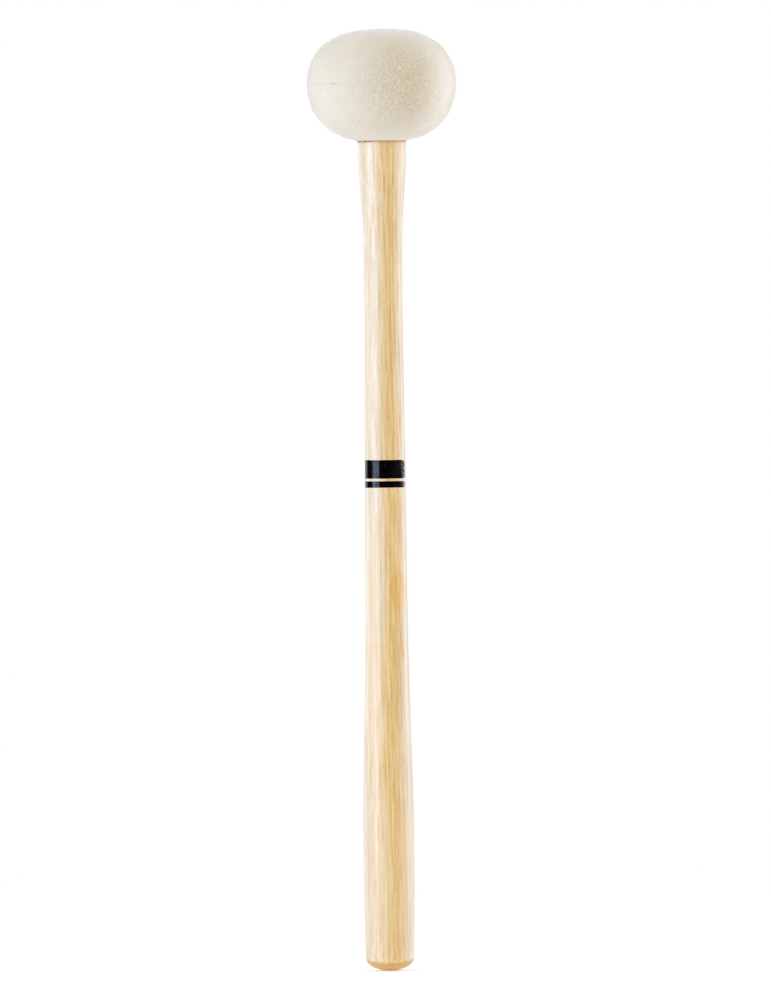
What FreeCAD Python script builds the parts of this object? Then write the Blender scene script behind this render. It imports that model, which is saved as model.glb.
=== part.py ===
import FreeCAD, Part
import math
import os

# Bass drum beater: a turned wooden shaft whose tenon carries a head of two felt discs.
# The shaft has a domed butt, a straight grip, a long taper to a slim waist and a flared collar
# under the head. Two bands of black transfer foil go round the neck. Glue holds the head.
# Millimetres, +Z along the axis from butt to head, -Y is the front, and the origin lies on the
# axis at the middle of the straight grip.

# Shaft, from the butt upwards
butt_crown_radius = 16.0
butt_corner_radius = 4.6
butt_diameter = 18.5
butt_taper_length = 20.0
grip_diameter = 19.05
grip_length = 32.0
handle_taper_length = 58.0
knee_diameter = 16.1
neck_taper_length = 132.4
waist_diameter = 14.25
rise_length = 28.5
flare_root_diameter = 14.7
flare_length = 22.5
collar_diameter = 18.0
collar_length = 9.6
shoulder_round = 0.6

# Half lengths over which the shaft's corners are eased
butt_ease = 3.0
grip_ease = 5.0
knee_ease = 16.0
waist_ease = 10.0
flare_ease = 5.0
collar_ease = 3.0

# Tenon on the head end of the shaft
tenon_diameter = 12.7
tenon_length = 31.0
tenon_chamfer = 1.0

# Felt head: two discs, ground to one oval, with the seam at the widest place
head_diameter = 56.3
crown_height = 20.7
base_depth = 21.0
crown_radius = 80.0
seat_diameter = 21.0

# Glue films
shoulder_glue_thickness = 0.35
shoulder_glue_setback = 0.3
tenon_glue_thickness = 0.15
seam_glue_thickness = 0.2
seam_glue_setback = 0.6

# Foil bands on the neck, measured up from the butt end
band_setback = 182.6
narrow_band_width = 2.3
band_spacing = 1.1
wide_band_width = 6.9
foil_thickness = 0.08
foil_gap = 2.4
foil_gap_direction = 83.0
wide_corner_radius = 1.2
narrow_corner_radius = 0.5

# Cuts run this far past the surface that they leave
overrun = 5.0

out_folder = "parts"
axis = FreeCAD.Vector(0, 0, 1)
origin = FreeCAD.Vector(0, 0, 0)


def point(radius, height):
    return FreeCAD.Vector(radius, 0, height)


def line(start, end):
    return Part.LineSegment(start, end).toShape()


def arc(centre, radius, start_angle, end_angle):
    # An arc in the XZ plane. Angles are in radians, from +X towards +Z.
    angles = (start_angle, (start_angle + end_angle) / 2, end_angle)
    turns = [point(math.cos(a), math.sin(a)) for a in angles]
    return Part.Arc(*[centre + turn * radius for turn in turns]).toShape()


def turned(edges):
    # The solid that a closed outline in the XZ plane sweeps round the axis.
    return Part.Face(Part.Wire(edges)).revolve(origin, axis, 360)


def eased_run(start, corners, end):
    # Straight tapers through the corners, each corner replaced by a parabola that meets both
    # tapers in line with them. A corner is its point and the half length of its ease.
    points = [start] + [corner for corner, ease in corners] + [end]
    edges = []
    here = start
    for (corner, ease), before, after in zip(corners, points, points[2:]):
        entry = corner + (before - corner).normalize() * ease
        leave = corner + (after - corner).normalize() * ease
        curve = Part.BezierCurve()
        curve.setPoles([entry, corner, leave])
        edges += [line(here, entry), curve.toShape()]
        here = leave
    return edges + [line(here, end)]


def blend_angles(outer_radius, inner_radius, offset):
    # An arc centred on the axis meets a smaller arc whose centre lies offset from the axis.
    # Returns the angle of the join above level and the height between the two centres.
    reach = outer_radius - inner_radius
    rise = math.sqrt(reach ** 2 - offset ** 2)
    return math.atan2(rise, offset), rise


# Heights along the shaft, with the origin at the middle of the straight grip
butt_radius = butt_diameter / 2
butt_angle, butt_rise = blend_angles(
    butt_crown_radius, butt_corner_radius, butt_radius - butt_corner_radius
)
dome_height = butt_crown_radius - butt_rise
grip_bottom = -grip_length / 2
grip_top = grip_length / 2
butt_end = grip_bottom - butt_taper_length - dome_height
dome_edge = butt_end + dome_height
knee_height = grip_top + grip_ease + handle_taper_length
waist_height = knee_height + neck_taper_length
flare_root_height = waist_height + rise_length
flare_top_height = flare_root_height + flare_length
shoulder_height = flare_top_height + collar_length
seat_height = shoulder_height + shoulder_glue_thickness
seam_height = seat_height + base_depth
tenon_end = shoulder_height + tenon_length
crown_top = seam_height + crown_height
tenon_radius = tenon_diameter / 2
socket_radius = tenon_radius + tenon_glue_thickness
socket_end = tenon_end + tenon_glue_thickness
collar_radius = collar_diameter / 2
head_radius = head_diameter / 2


def shaft():
    crown_centre = point(0, butt_end + butt_crown_radius)
    corner_centre = point(butt_radius - butt_corner_radius, dome_edge)
    shoulder_corner = point(collar_radius, shoulder_height - shoulder_round)
    round_centre = shoulder_corner - point(shoulder_round, 0)
    foot = point(tenon_radius, shoulder_height)
    chamfer_foot = point(tenon_radius, tenon_end - tenon_chamfer)
    chamfer_top = point(tenon_radius - tenon_chamfer, tenon_end)
    axis_top = point(0, tenon_end)
    axis_bottom = point(0, butt_end)
    corners = [
        (point(grip_diameter / 2, grip_bottom - butt_ease), butt_ease),
        (point(grip_diameter / 2, grip_top + grip_ease), grip_ease),
        (point(knee_diameter / 2, knee_height), knee_ease),
        (point(waist_diameter / 2, waist_height), waist_ease),
        (point(flare_root_diameter / 2, flare_root_height), flare_ease),
        (point(collar_radius, flare_top_height), collar_ease),
    ]
    edges = [
        arc(crown_centre, butt_crown_radius, -math.pi / 2, -butt_angle),
        arc(corner_centre, butt_corner_radius, -butt_angle, 0),
    ]
    edges += eased_run(point(butt_radius, dome_edge), corners, shoulder_corner)
    edges += [
        arc(round_centre, shoulder_round, 0, math.pi / 2),
        line(round_centre + point(0, shoulder_round), foot),
        line(foot, chamfer_foot),
        line(chamfer_foot, chamfer_top),
        line(chamfer_top, axis_top),
        line(axis_top, axis_bottom),
    ]
    return turned(edges)


def side_radius(cap_radius, depth):
    # The radius of the arc that is upright at the head's widest place and runs into a cap of
    # cap_radius whose top lies depth away from there.
    excess = 2 * cap_radius * depth - depth ** 2 - head_radius ** 2
    return excess / (2 * (cap_radius - head_radius))


def upper_felt_disc():
    side = side_radius(crown_radius, crown_height)
    angle, rise = blend_angles(crown_radius, side, head_radius - side)
    lower_face = seam_height + seam_glue_thickness / 2
    edge = math.asin((lower_face - seam_height) / side)
    side_centre = point(head_radius - side, seam_height)
    crown_centre = point(0, crown_top - crown_radius)
    rim = side_centre + point(math.cos(edge), math.sin(edge)) * side
    mouth = point(socket_radius, lower_face)
    corner = point(socket_radius, socket_end)
    socket_top = point(0, socket_end)
    return turned([
        line(mouth, rim),
        arc(side_centre, side, edge, angle),
        arc(crown_centre, crown_radius, angle, math.pi / 2),
        line(point(0, crown_top), socket_top),
        line(socket_top, corner),
        line(corner, mouth),
    ])


def lower_felt_disc():
    # One arc, upright at the head's widest place, runs down to the edge of the flat seat.
    seat_radius = seat_diameter / 2
    reach = head_radius - seat_radius
    side = (reach ** 2 + base_depth ** 2) / (2 * reach)
    seat_angle = math.atan2(base_depth, side - reach)
    upper_face = seam_height - seam_glue_thickness / 2
    edge = math.asin((upper_face - seam_height) / side)
    side_centre = point(head_radius - side, seam_height)
    rim = side_centre + point(math.cos(edge), math.sin(edge)) * side
    seat_edge = point(seat_radius, seat_height)
    mouth = point(socket_radius, seat_height)
    bore_top = point(socket_radius, upper_face)
    return turned([
        line(mouth, seat_edge),
        arc(side_centre, side, -seat_angle, edge),
        line(rim, bore_top),
        line(bore_top, mouth),
    ])


def ring(inner_radius, outer_radius, bottom, top):
    corners = [
        point(inner_radius, bottom),
        point(outer_radius, bottom),
        point(outer_radius, top),
        point(inner_radius, top),
    ]
    return turned([line(a, b) for a, b in zip(corners, corners[1:] + corners[:1])])


def seam_glue():
    half = seam_glue_thickness / 2
    outer = head_radius - seam_glue_setback
    return ring(socket_radius, outer, seam_height - half, seam_height + half)


def shoulder_glue():
    outer = collar_radius - shoulder_glue_setback
    return ring(tenon_radius, outer, shoulder_height, seat_height)


def tenon_glue(shaft_solid):
    # The cup of glue that fills the socket round the tenon and over its end.
    depth = socket_end - seat_height
    plug = Part.makeCylinder(socket_radius, depth, point(0, seat_height), axis)
    return plug.cut(shaft_solid)


def neck_radius(height):
    share = (height - knee_height) / neck_taper_length
    return (knee_diameter + share * (waist_diameter - knee_diameter)) / 2


def foil_band(shaft_solid, bottom, width):
    top = bottom + width
    low = neck_radius(bottom) + foil_thickness
    high = neck_radius(top) + foil_thickness
    return Part.makeCone(low, high, width, point(0, bottom), axis).cut(shaft_solid)


def open_band(band, bottom, width, corner_radius):
    # A band is a strip wrapped once: its ends stop short of each other and have rounded corners.
    # The gap's direction is in degrees from the front towards +X.
    reach = neck_radius(bottom) + overrun
    top = bottom + width
    half = foil_gap / 2
    flare = half + corner_radius
    low = bottom + corner_radius
    high = top - corner_radius
    right_side = [
        line(point(flare, bottom - overrun), point(flare, bottom)),
        arc(point(flare, low), corner_radius, -math.pi / 2, -math.pi),
        line(point(half, low), point(half, high)),
        arc(point(flare, high), corner_radius, math.pi, math.pi / 2),
        line(point(flare, top), point(flare, top + overrun)),
    ]
    left_side = [edge.mirror(origin, point(1, 0)) for edge in right_side]
    lids = [line(point(-flare, h), point(flare, h)) for h in (bottom - overrun, top + overrun)]
    outline = Part.Wire(Part.__sortEdges__(right_side + left_side + lids))
    slot = Part.Face(outline).extrude(FreeCAD.Vector(0, -reach, 0))
    slot.rotate(origin, axis, foil_gap_direction)
    return band.cut(slot)


def export(name, shape):
    solid = shape.Solids[0]
    solid.exportStep(os.path.join(out_folder, name + ".step"))
    print(f"{name}: {solid.Volume:.1f} mm3, valid {solid.isValid()}, solids {len(shape.Solids)}")


def main():
    os.makedirs(out_folder, exist_ok=True)
    shaft_solid = shaft()
    narrow_bottom = butt_end + band_setback
    wide_bottom = narrow_bottom + narrow_band_width + band_spacing
    narrow_ring = foil_band(shaft_solid, narrow_bottom, narrow_band_width)
    wide_ring = foil_band(shaft_solid, wide_bottom, wide_band_width)
    narrow_band = open_band(narrow_ring, narrow_bottom, narrow_band_width, narrow_corner_radius)
    wide_band = open_band(wide_ring, wide_bottom, wide_band_width, wide_corner_radius)
    export("shaft", shaft_solid)
    export("upper_felt_disc", upper_felt_disc())
    export("lower_felt_disc", lower_felt_disc())
    export("seam_glue", seam_glue())
    export("tenon_glue", tenon_glue(shaft_solid))
    export("shoulder_glue", shoulder_glue())
    export("narrow_band", narrow_band)
    export("wide_band", wide_band)
    print(f"butt end {butt_end:.2f}, seat {seat_height:.2f}, crown {crown_top:.2f}")
    print(f"overall length {crown_top - butt_end:.2f}")


main()
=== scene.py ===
import math
from functools import reduce
from itertools import product

import bpy
import numpy as np
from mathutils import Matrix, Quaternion, Vector


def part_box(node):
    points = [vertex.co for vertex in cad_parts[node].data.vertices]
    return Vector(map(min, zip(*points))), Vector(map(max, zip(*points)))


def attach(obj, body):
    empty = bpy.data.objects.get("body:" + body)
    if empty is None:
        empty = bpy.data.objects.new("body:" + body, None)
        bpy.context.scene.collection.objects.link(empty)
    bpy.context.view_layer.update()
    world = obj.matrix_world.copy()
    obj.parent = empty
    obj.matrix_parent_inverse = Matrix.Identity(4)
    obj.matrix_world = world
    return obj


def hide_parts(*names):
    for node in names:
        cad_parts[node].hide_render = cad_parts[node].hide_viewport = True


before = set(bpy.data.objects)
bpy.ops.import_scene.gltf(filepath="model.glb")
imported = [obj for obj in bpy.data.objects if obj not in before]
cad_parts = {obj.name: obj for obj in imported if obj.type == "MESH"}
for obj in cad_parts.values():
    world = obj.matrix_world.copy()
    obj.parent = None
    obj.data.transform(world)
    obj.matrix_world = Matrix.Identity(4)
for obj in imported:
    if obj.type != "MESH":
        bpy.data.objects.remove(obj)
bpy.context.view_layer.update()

# Bass drum beater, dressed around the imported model. Metres, +Z from butt to head, -Y is the front.
mm = 0.001
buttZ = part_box("shaft")[0].z
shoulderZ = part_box("shoulder_glue")[0].z
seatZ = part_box("shoulder_glue")[1].z
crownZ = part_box("upper_felt_disc")[1].z
middleZ = (buttZ + crownZ) / 2
seamZ = (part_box("seam_glue")[0].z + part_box("seam_glue")[1].z) / 2
socketRadius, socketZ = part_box("tenon_glue")[1].x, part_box("tenon_glue")[1].z
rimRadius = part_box("upper_felt_disc")[1].x
sharpAngle = math.radians(48)
frontAngle = -math.pi / 2  # the side that faces the camera, counted from +X towards +Y
near, nearest = 0.01 * mm, 0.001 * mm  # how close two points of a node count as level
print("frame: butt", round(buttZ, 4), "shoulder", round(shoulderZ, 4), "crown", round(crownZ, 4))


# Shared shape tools

def latticeNoise(points, cell, seed):
    # Random numbers on a repeating cube lattice of the given cell, eased between its corners
    # with 3t^2 - 2t^3 along each axis. The result lies between -1 and 1.
    size = 48
    table = np.random.default_rng(seed).uniform(-1, 1, (size, size, size))
    place = points / cell
    corner = np.floor(place).astype(int)
    t = place - corner
    t = t * t * (3 - 2 * t)
    total = np.zeros(points.shape[:-1])
    for step in product((0, 1), repeat=3):
        weight = np.prod(np.where(step, t, 1 - t), axis=-1)
        index = (corner + step) % size
        total += weight * table[index[..., 0], index[..., 1], index[..., 2]]
    return total


def curveThrough(along, values, at):
    # Cubic pieces through the points, with slopes that are the weighted harmonic mean of the
    # two chords beside a point, so that the curve never overshoots.
    gap = np.diff(along)
    chord = np.diff(values) / gap
    before, after = chord[:-1], chord[1:]
    same = before * after > 0
    weightA, weightB = 2 * gap[1:] + gap[:-1], gap[1:] + 2 * gap[:-1]
    safeA, safeB = np.where(same, before, 1), np.where(same, after, 1)
    mean = (weightA + weightB) / (weightA / safeA + weightB / safeB)
    slope = np.concatenate([chord[:1], np.where(same, mean, 0), chord[-1:]])
    i = np.clip(np.searchsorted(along, at, side="right") - 1, 0, len(gap) - 1)
    t = (at - along[i]) / gap[i]
    ease = t * t * (3 - 2 * t)
    rise = gap[i] * (t * (1 - t) ** 2 * slope[i] - t * t * (1 - t) * slope[i + 1])
    return values[i] * (1 - ease) + values[i + 1] * ease + rise


def smoothStep(low, high, value):
    # The share t of the way from low to high, eased with 3t^2 - 2t^3.
    t = np.clip((value - low) / (high - low), 0, 1)
    return t * t * (3 - 2 * t)


def nodePoints(name):
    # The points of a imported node's mesh, one in each row.
    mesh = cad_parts[name].data
    flat = np.empty(3 * len(mesh.vertices), np.float32)
    mesh.vertices.foreach_get("co", flat)
    return flat.reshape(-1, 3).astype(float)


def nodeOutline(name):
    # Radius and height of every point of a turned node, each pair once.
    points = nodePoints(name)
    pairs = np.stack([np.hypot(points[:, 0], points[:, 1]), points[:, 2]], axis=1)
    return np.unique(np.round(pairs, 6), axis=0)


def runLength(outline):
    # The length along an outline from its first point to each of its points.
    return np.concatenate([[0], np.cumsum(np.hypot(*np.diff(outline, axis=0).T))])


def turn(radius, height, angle):
    # Radius and height carried round the axis: x = r cos a, y = r sin a, z = h.
    shape = np.broadcast_shapes(radius.shape, height.shape, angle.shape)
    parts = (radius * np.cos(angle), radius * np.sin(angle), height)
    return np.stack([np.broadcast_to(part, shape) for part in parts], axis=-1)


def roundPlace(radius, angle, height):
    # One point at a radius, an angle and a height, by the same formula.
    return (radius * math.cos(angle), radius * math.sin(angle), height)


def fullTurn(count):
    # Angles at even steps round the axis.
    return np.linspace(0, 2 * math.pi, count, endpoint=False)


def unit(vectors):
    # Vectors divided by their lengths.
    return vectors / np.linalg.norm(vectors, axis=-1, keepdims=True)


def gridQuads(rows, columns, wrapRows, wrapColumns):
    # The numbers of the four corners of each cell, joined end to end where the grid wraps.
    i, j = np.meshgrid(
        np.arange(rows - (not wrapRows)), np.arange(columns - (not wrapColumns)), indexing="ij"
    )
    down, right = (i + 1) % rows, (j + 1) % columns
    corners = (i * columns + j, i * columns + right, down * columns + right, down * columns + j)
    return np.stack(corners, axis=-1).reshape(-1, 4)


def addObject(name, data):
    # An object of the scene with the given mesh, lamp or camera.
    item = bpy.data.objects.new(name, data)
    bpy.context.scene.collection.objects.link(item)
    return item


def addPiece(name, points, faces, replaced=()):
    # A smooth mesh that rides on the root, and hides the imported nodes that it replaces.
    mesh = bpy.data.meshes.new(name)
    mesh.from_pydata(points.tolist(), [], [row for part in faces for row in part.tolist()])
    mesh.validate()
    mesh.shade_smooth()
    mesh.set_sharp_from_angle(angle=sharpAngle)
    piece = addObject(name, mesh)
    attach(piece, "root")
    if replaced:
        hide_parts(*replaced)
    return piece


def skinGrid(grid, startPole=None, endPole=None, wrapRows=False, wrapColumns=True):
    # A grid of points as quads, closed at a pole by a fan of triangles.
    rows, columns = grid.shape[:2]
    points = grid.reshape(-1, 3)
    faces = [gridQuads(rows, columns, wrapRows, wrapColumns)]
    ring = np.arange(columns)
    for pole, first, forward in ((startPole, 0, False), (endPole, (rows - 1) * columns, True)):
        if pole is not None:
            tip = np.full(columns, len(points))
            points = np.vstack([points, pole])
            here, onward = first + ring, first + np.roll(ring, -1)
            faces.append(np.stack([tip, here, onward] if forward else [tip, onward, here], axis=1))
    return points, faces


# Shared material tools

def startMaterial(name, settings):
    # A principled shader with its plain settings, joined to the output.
    material = bpy.data.materials.new(name)
    material.use_nodes = True
    tree = material.node_tree
    tree.nodes.clear()
    shader = tree.nodes.new("ShaderNodeBsdfPrincipled")
    output = tree.nodes.new("ShaderNodeOutputMaterial")
    tree.links.new(shader.outputs["BSDF"], output.inputs["Surface"])
    dress(tree, shader, settings)
    return material, tree, shader


def wire(tree, value, socket):
    # A socket is linked, a number or colour is set.
    if isinstance(value, bpy.types.NodeSocket):
        tree.links.new(value, socket)
    elif isinstance(value, tuple) and len(value) == 3 and socket.type == "RGBA":
        socket.default_value = (*value, 1)
    else:
        socket.default_value = value


def dress(tree, shader, inputs):
    # Sockets, numbers and colours, given to the shader's inputs by name.
    for key, value in inputs.items():
        wire(tree, value, shader.inputs[key])


def mathNode(tree, operation, a, b=0.0, clamp=False):
    # One operation on two numbers or sockets.
    node = tree.nodes.new("ShaderNodeMath")
    node.operation = operation
    node.use_clamp = clamp
    wire(tree, a, node.inputs[0])
    wire(tree, b, node.inputs[1])
    return node.outputs[0]


def times(tree, *factors):
    # The product of all factors.
    return reduce(lambda a, b: mathNode(tree, "MULTIPLY", a, b), factors)


def plus(tree, *terms):
    # The sum of all terms.
    return reduce(lambda a, b: mathNode(tree, "ADD", a, b), terms)


def vectorNode(tree, operation, a, b, output="Vector"):
    # One operation on two vectors.
    node = tree.nodes.new("ShaderNodeVectorMath")
    node.operation = operation
    wire(tree, a, node.inputs[0])
    wire(tree, b, node.inputs[1])
    return node.outputs[output]


def mixNode(tree, factor, a, b):
    # Colour a at factor 0 to colour b at factor 1.
    node = tree.nodes.new("ShaderNodeMix")
    node.data_type = "RGBA"
    wire(tree, factor, node.inputs[0])
    wire(tree, a, node.inputs[6])
    wire(tree, b, node.inputs[7])
    return node.outputs[2]


def objectPlace(tree):
    # A point's place in the shared frame, in metres.
    return tree.nodes.new("ShaderNodeTexCoord").outputs["Object"]


def stretched(tree, vector, cell, offset=(0, 0, 0)):
    # Object coordinates divided by the size of one cell in mm along each axis.
    node = tree.nodes.new("ShaderNodeMapping")
    wire(tree, vector, node.inputs["Vector"])
    node.inputs["Location"].default_value = offset
    node.inputs["Scale"].default_value = [1 / (side * mm) for side in cell]
    return node.outputs["Vector"]


def noiseNode(tree, place, cell, offset=(0, 0, 0), detail=2.0, roughness=0.5, distortion=0.0):
    # Blender's noise, 0 to 1, in cells of the given size.
    node = tree.nodes.new("ShaderNodeTexNoise")
    wire(tree, stretched(tree, place, cell, offset), node.inputs["Vector"])
    node.inputs["Scale"].default_value = 1
    node.inputs["Detail"].default_value = detail
    node.inputs["Roughness"].default_value = roughness
    node.inputs["Distortion"].default_value = distortion
    return node.outputs["Fac"]


def fadeNode(tree, value, low, high, toLow, toHigh):
    # A smooth step from toLow at low to toHigh at high.
    node = tree.nodes.new("ShaderNodeMapRange")
    node.interpolation_type = "SMOOTHSTEP"
    for key, number in (("From Min", low), ("From Max", high), ("To Min", toLow), ("To Max", toHigh)):
        wire(tree, number, node.inputs[key])
    wire(tree, value, node.inputs["Value"])
    return node.outputs["Result"]


def rampNode(tree, factor, stops, colours):
    # Colours between stops, each a place and the key of its colour.
    node = tree.nodes.new("ShaderNodeValToRGB")
    band = node.color_ramp
    while len(band.elements) < len(stops):
        band.elements.new(0.5)
    for element, (place, key) in zip(band.elements, stops):
        element.position = place
        element.color = (*colours[key], 1)
    wire(tree, factor, node.inputs["Fac"])
    return node.outputs["Color"]


def bumpNode(tree, height, distance, strength):
    # Normals tilted by the slope of a height from 0 to 1 that stands for a distance.
    node = tree.nodes.new("ShaderNodeBump")
    node.inputs["Strength"].default_value = strength
    node.inputs["Distance"].default_value = distance
    wire(tree, height, node.inputs["Height"])
    return node.outputs["Normal"]


def axisOf(tree, vector, axis="Z"):
    # One coordinate of a vector.
    node = tree.nodes.new("ShaderNodeSeparateXYZ")
    wire(tree, vector, node.inputs[0])
    return node.outputs[axis]


def axisDistance(tree, place):
    # The distance from the beater's axis.
    flat = vectorNode(tree, "MULTIPLY", place, (1, 1, 0))
    return vectorNode(tree, "LENGTH", flat, (0, 0, 0), "Value")


def spotFade(tree, place, centre, reach, fade):
    # A fade with the distance from a centre, counted in reaches along each axis.
    offset = vectorNode(tree, "DIVIDE", vectorNode(tree, "SUBTRACT", place, centre), reach)
    return fadeNode(tree, vectorNode(tree, "LENGTH", offset, (0, 0, 0), "Value"), *fade)


def withNoises(tree, start, *parts):
    # A value plus noises, each moved to lie about zero and multiplied by its amount.
    centred = ((mathNode(tree, "SUBTRACT", noise, 0.5), amount) for noise, amount in parts)
    return plus(tree, start, *(times(tree, noise, amount) for noise, amount in centred))


def lookTools(tree, look, place):
    # The noises and fades of one finish, called by their names in its dictionary. A noise's row has
    # the size of a cell in mm, an offset in cells, octaves, roughness and distortion. A fade's row
    # has where it begins and ends, and its value at both.
    def noise(name):
        return noiseNode(tree, place, *look[name + "Noise"])

    def fade(value, name):
        return fadeNode(tree, value, *look[name])

    return noise, fade


def srgb(red, green, blue):
    # A colour as a picture gives it, 0 to 255, made linear.
    levels = [value / 255 for value in (red, green, blue)]
    return tuple(v / 12.92 if v < 0.04045 else ((v + 0.055) / 1.055) ** 2.4 for v in levels)


# Turned shaft

shaftShape = dict(around=160, ringStep=0.9 * mm, domeRings=48, domeArc=14 * mm, closest=0.03 * mm)


def shaftOutline():
    # From the butt up the outside, in over the shoulder and up the tenon to its end.
    pairs = nodeOutline("shaft")
    return pairs[np.lexsort((-pairs[:, 0], pairs[:, 1]))]


shaftPairs = shaftOutline()
outerPairs = shaftPairs[shaftPairs[:, 1] < shoulderZ - nearest]


def shaftRadius(height):
    # The radius of the shaft's outside at one height or at many.
    return curveThrough(outerPairs[:, 1], outerPairs[:, 0], np.asarray(height, float))


def makeShaft():
    # The outline as a smooth curve of its own length, turned round the axis.
    along = runLength(shaftPairs)
    stations = np.concatenate([
        np.linspace(0, shaftShape["domeArc"], shaftShape["domeRings"]),
        np.arange(shaftShape["domeArc"], along[-1], shaftShape["ringStep"]),
        along,
    ])
    stations = np.unique(stations)
    clear = np.diff(stations, prepend=-1) > shaftShape["closest"]
    stations = stations[clear & (stations < along[-1])][1:]
    radius = curveThrough(along, shaftPairs[:, 0], stations)
    height = curveThrough(along, shaftPairs[:, 1], stations)
    angle = fullTurn(shaftShape["around"])
    grid = turn(radius[:, None], height[:, None], angle[None, :])
    points, faces = skinGrid(grid, (0, 0, buttZ), (0, 0, shaftPairs[-1, 1]))
    return addPiece("shaft_turned", points, faces, ["shaft"])


woodLook = dict(
    paleLight=srgb(247, 232, 210),
    paleDeep=srgb(219, 196, 165),
    goldLight=srgb(249, 219, 160),
    goldDeep=srgb(219, 177, 104),
    # painted shade: the pale side turns deeper on the right flank
    shadedFlank=srgb(218, 200, 178),
    pore=srgb(190, 144, 82),
    honey=srgb(230, 177, 74),
    endGrain=srgb(204, 159, 74),
    settings={"Specular IOR Level": 0.25, "Coat Weight": 0.6, "Coat Roughness": 0.28},
    # noises
    driftNoise=((8, 8, 95), (0, 0, 0), 2.0, 0.5),
    strandNoise=((0.8, 0.8, 22), (3, 7, 1), 3.0, 0.6),
    fibreNoise=((0.34, 0.34, 8), (9, 2, 5), 4.0, 0.7),
    speckNoise=((0.36, 0.36, 1.1), (1, 8, 4), 2.0, 0.6),
    breakNoise=((1.6, 1.6, 13), (6, 4, 2), 2.0, 0.5),
    # growth layers: how they lie, what bends them, how dark each is from its start to its end
    layerPitch=1.9 * mm,
    layerTurn=math.radians(15),
    grainRunOut=0.009,
    layerBend=2.4,
    layerWaver=0.35,
    layerDarkness=((0.0, 0.45), (0.16, 1.0), (0.42, 0.35), (0.66, 0.0), (0.84, 0.1), (1.0, 0.45)),
    middleTone=0.65,
    strandTone=1.7,
    fibreTone=1.4,
    speckTone=0.75,
    heartAndShadeWander=0.22,
    heartAndShadeFeather=0.35,
    heartAndShadeCore=1 * mm,
    poreCell=(0.55, 0.55, 6.5),
    poreLeast=0.4,  # cells with a lower number have no pore
    poreDepth=0.42,
    # fades
    lineBreak=(0.36, 0.62, 0.52, 0.18),
    heartFade=(0.02, 0.82, 1.0, 0.0),
    flankFade=(0.66, 0.90, 0.0, 0.32),
    handleGold=(0.03, 0.11, 0.07, 0.0),
    handleShift=(0.03, 0.11, 0.13, 0.0),
    poreDash=(0.10, 0.28, 1.0, 0.0),
    poreByLayer=(0.05, 0.5, 1.0, 0.1),
    stainEdge=(0.2, 1.0, 1.0, 0.0),
    stainFibre=(0.38, 0.6, 1.0, 0.3),
    roughFade=(0.25, 0.75, 0.52, 0.40),
    domeFade=(2.4 * mm, 3.9 * mm, 0.85, 0.0),  # above the butt
    collarFade=(-1.6 * mm, 0.0, 0.0, 0.55),  # from the shoulder
    endGrainClimb=18,  # height gained times x squared, so 1.6 mm at the sides
    endGrainRagged=3.2 * mm,
    fibreRelief=0.5,
    bump=(0.04 * mm, 0.35),
    # streaks and stains: degrees from the front towards +X, then in mm the height above the butt and
    # the reach round and along, then share and colour. The long pale streaks at 54 and 58 degrees are
    # painted highlights on the right flank.
    stains=(
        (-45, 30, 1.1, 60, 0.40, "goldDeep"), (-44, 118, 1.7, 95, 0.45, "goldDeep"),
        (-49, 265, 1.0, 60, 0.30, "goldDeep"), (-8, 30, 3.2, 45, 0.40, "paleLight"),
        (-3, 207, 4.2, 18, 0.40, "goldDeep"), (17, 46, 2.6, 66, 0.40, "goldDeep"),
        (31, 118, 2.4, 36, 0.75, "goldDeep"), (36, 170, 2.2, 16, 0.40, "goldDeep"),
        (38, 20, 1.6, 24, 0.45, "goldDeep"), (58, 115, 1.9, 125, 0.90, "paleLight"),
        (-61, 140, 1.4, 110, 0.60, "paleLight"), (-42, 112, 2.4, 72, 0.70, "goldLight"),
        (-42, 76, 1.8, 22, 0.45, "goldDeep"), (-25, 156, 1.2, 24, 0.30, "goldDeep"),
        (-22, 238, 1.6, 24, 0.40, "goldDeep"), (-17, 110, 1.0, 20, 0.40, "goldDeep"),
        (-5, 229, 1.4, 12, 0.35, "goldLight"), (0, 265, 1.2, 14, 0.40, "goldLight"),
        (3, 303, 0.6, 10, 0.60, "goldLight"), (5, 98, 0.8, 18, 0.55, "goldDeep"),
        (7, 172, 1.5, 13, 0.70, "goldLight"), (14, 207, 0.6, 12, 0.60, "goldDeep"),
        (17, 114, 1.0, 28, 1.00, "goldDeep"), (18, 40, 1.0, 34, 0.65, "goldLight"),
        (21, 275, 0.6, 35, 0.60, "goldDeep"), (23, 207, 0.6, 12, 0.60, "goldLight"),
        (29, 207, 0.5, 12, 0.60, "goldDeep"), (30, 48, 0.9, 13, 0.90, "goldLight"),
        (32, 236, 1.2, 20, 0.45, "goldDeep"), (33, 122, 0.8, 20, 0.85, "goldDeep"),
        (37, 276, 1.0, 22, 0.50, "goldDeep"), (43, 207, 1.0, 12, 0.90, "goldLight"),
        (48, 124, 1.0, 19, 1.00, "goldDeep"), (45, 50, 1.6, 16, 0.60, "goldLight"),
        (51, 48, 1.2, 15, 0.60, "paleLight"), (51, 170, 0.7, 14, 0.55, "goldDeep"),
        (53, 207, 0.8, 12, 0.65, "goldDeep"), (54, 303, 1.3, 13, 0.90, "paleLight"),
        (36, 144, 4.6, 13, 1.00, "honey"), (34, 158, 2.6, 19, 0.30, "honey"),
        (31, 175, 3.4, 5.5, 0.42, "honey"), (22, 199, 0.40, 5, 0.70, "pore"),
        (50, 206, 0.42, 7, 0.85, "pore"), (46, 214, 0.36, 9, 0.75, "pore"),
    ),
)


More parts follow.
